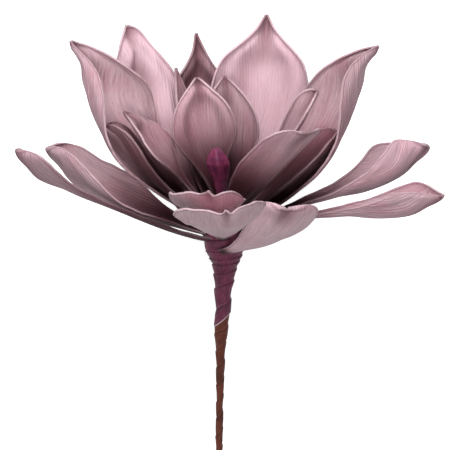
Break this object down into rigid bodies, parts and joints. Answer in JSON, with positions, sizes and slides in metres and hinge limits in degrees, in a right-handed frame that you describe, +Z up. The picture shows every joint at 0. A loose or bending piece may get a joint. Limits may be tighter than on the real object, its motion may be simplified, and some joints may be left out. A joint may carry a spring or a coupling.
{
  "type": "artificial magnolia flower on a taped wire stem",
  "caption": "Open magnolia of mauve foam-sheet petals set in layers round a pointed bud, on a straight stem wound with plum and brown tape, lying on its back.",
  "frame": {"origin": "middle of the whole flower's box, on the surface that it lies on", "axes": "+Y along the stem from its cut end to the flower, +Z up from the surface that it lies on, +X to the right of the bloom as the camera above sees it"},
  "size_m": [0.206, 0.407, 0.1679],
  "materials": {
    "petal_foam": "matte, finely grained dusty mauve foam sheet with pale cut edges",
    "petal_foam_pale": "matte, finely grained pale mauve foam sheet with pale cut edges",
    "bud_foam": "matte deep plum foam",
    "plum_tape": "satin crinkled florist's tape, plum",
    "brown_tape": "satin crinkled florist's tape, brown",
    "wire": "bare cut steel"
  },
  "bodies": {
    "root": {"bud": "bud_foam", "neck_tape": "plum_tape", "petal_inner_back": "petal_foam", "petal_inner_back_left": "petal_foam", "petal_inner_back_right": "petal_foam", "petal_inner_front": "petal_foam", "petal_inner_left": "petal_foam", "petal_inner_left_low": "petal_foam", "petal_inner_right_back": "petal_foam", "petal_inner_right_front": "petal_foam", "petal_inner_right_low": "petal_foam", "petal_low_back": "petal_foam", "petal_low_back_left": "petal_foam", "petal_low_back_right": "petal_foam", "petal_low_front": "petal_foam_pale", "petal_low_front_right": "petal_foam_pale", "petal_low_left_back": "petal_foam", "petal_low_left_front": "petal_foam", "petal_low_right": "petal_foam", "petal_low_right_back": "petal_foam", "petal_tall_back": "petal_foam", "petal_tall_back_left": "petal_foam", "petal_tall_back_right": "petal_foam", "petal_tall_left": "petal_foam", "petal_tall_right": "petal_foam", "stem_tape": "brown_tape", "stem_wire": "wire"}
  },
  "joints": []
}
